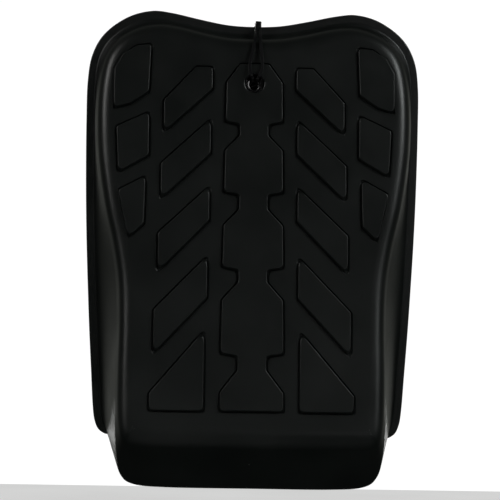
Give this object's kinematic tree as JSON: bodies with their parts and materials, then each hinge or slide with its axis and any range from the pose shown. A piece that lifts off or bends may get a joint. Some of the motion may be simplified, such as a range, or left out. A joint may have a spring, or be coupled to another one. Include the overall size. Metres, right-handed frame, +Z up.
{
  "type": "kick paddle",
  "caption": "Wedge-shaped moulded striking pad with a raised sole-like tread, worn on one forearm by a hand grip and adjustable straps.",
  "frame": {"origin": "on the axis of the hanging hole, at the rear face of the back board", "axes": "+Z up the paddle, -Y out of the striking face, +X to the right seen from the front"},
  "size_m": [0.2644, 0.1787, 0.3733],
  "materials": {
    "moulded_skin": "satin moulded skin with a fine grain",
    "core_foam": "closed-cell foam",
    "board_plastic": "fine textured sheet",
    "hole_plastic": "polished",
    "tie_nylon": "smooth nylon",
    "pad_vinyl": "grained coated fabric",
    "grip_rubber": "ribbed foam rubber",
    "bracket_plastic": "glass-filled nylon",
    "webbing": "woven",
    "closure": "hook and loop",
    "steel": "zinc plated"
  },
  "bodies": {
    "paddle": {"strike_shell": "moulded_skin", "foam_core": "core_foam", "back_board": "board_plastic", "hole_cup": "hole_plastic", "forearm_pad": "pad_vinyl", "grip_rod": "steel", "grip_sleeve": "grip_rubber", "grip_bracket_left": "bracket_plastic", "grip_bracket_right": "bracket_plastic", "strap_upper": "webbing", "loop_patch_upper": "closure", "keeper_upper": "webbing", "strap_plate_upper": "bracket_plastic", "keeper_plate_upper": "bracket_plastic", "strap_lower": "webbing", "loop_patch_lower": "closure", "keeper_lower": "webbing", "strap_plate_lower": "bracket_plastic", "keeper_plate_lower": "bracket_plastic", "anchor_bolt_01": "steel", "anchor_bolt_02": "steel", "anchor_bolt_03": "steel", "anchor_bolt_04": "steel", "anchor_bolt_05": "steel", "anchor_bolt_06": "steel", "anchor_bolt_07": "steel", "anchor_bolt_08": "steel", "anchor_bolt_09": "steel", "anchor_bolt_10": "steel", "anchor_bolt_11": "steel", "anchor_bolt_12": "steel", "tee_nut_01": "steel", "tee_nut_02": "steel", "tee_nut_03": "steel", "tee_nut_04": "steel", "tee_nut_05": "steel", "tee_nut_06": "steel", "tee_nut_07": "steel", "tee_nut_08": "steel", "tee_nut_09": "steel", "tee_nut_10": "steel", "tee_nut_11": "steel", "tee_nut_12": "steel"},
    "cable_tie": {"cable_tie": "tie_nylon"},
    "ring_upper": {"ring_upper": "steel"},
    "ring_lower": {"ring_lower": "steel"},
    "tab_upper": {"strap_tab_upper": "webbing", "hook_patch_upper": "closure"},
    "tab_lower": {"strap_tab_lower": "webbing", "hook_patch_lower": "closure"}
  },
  "joints": [
    {"name": "tie_swing", "type": "hinge", "parent": "paddle", "child": "cable_tie", "pos_m": [0, 0, 0], "axis": [0, 1, 0], "range_deg": [-4, 4]},
    {"name": "ring_upper_swing", "type": "hinge", "parent": "paddle", "child": "ring_upper", "pos_m": [0.066, 0.008, -0.137], "axis": [0, 0, 1], "range_deg": [-6, 6]},
    {"name": "tab_upper_peel", "type": "hinge", "parent": "paddle", "child": "tab_upper", "pos_m": [0.0594, 0.0534, -0.137], "axis": [0, 0, -1], "range_deg": [0, 120]},
    {"name": "ring_lower_swing", "type": "hinge", "parent": "paddle", "child": "ring_lower", "pos_m": [0.066, 0.008, -0.223], "axis": [0, 0, 1], "range_deg": [-6, 6]},
    {"name": "tab_lower_peel", "type": "hinge", "parent": "paddle", "child": "tab_lower", "pos_m": [0.0594, 0.0534, -0.223], "axis": [0, 0, -1], "range_deg": [0, 120]}
  ]
}
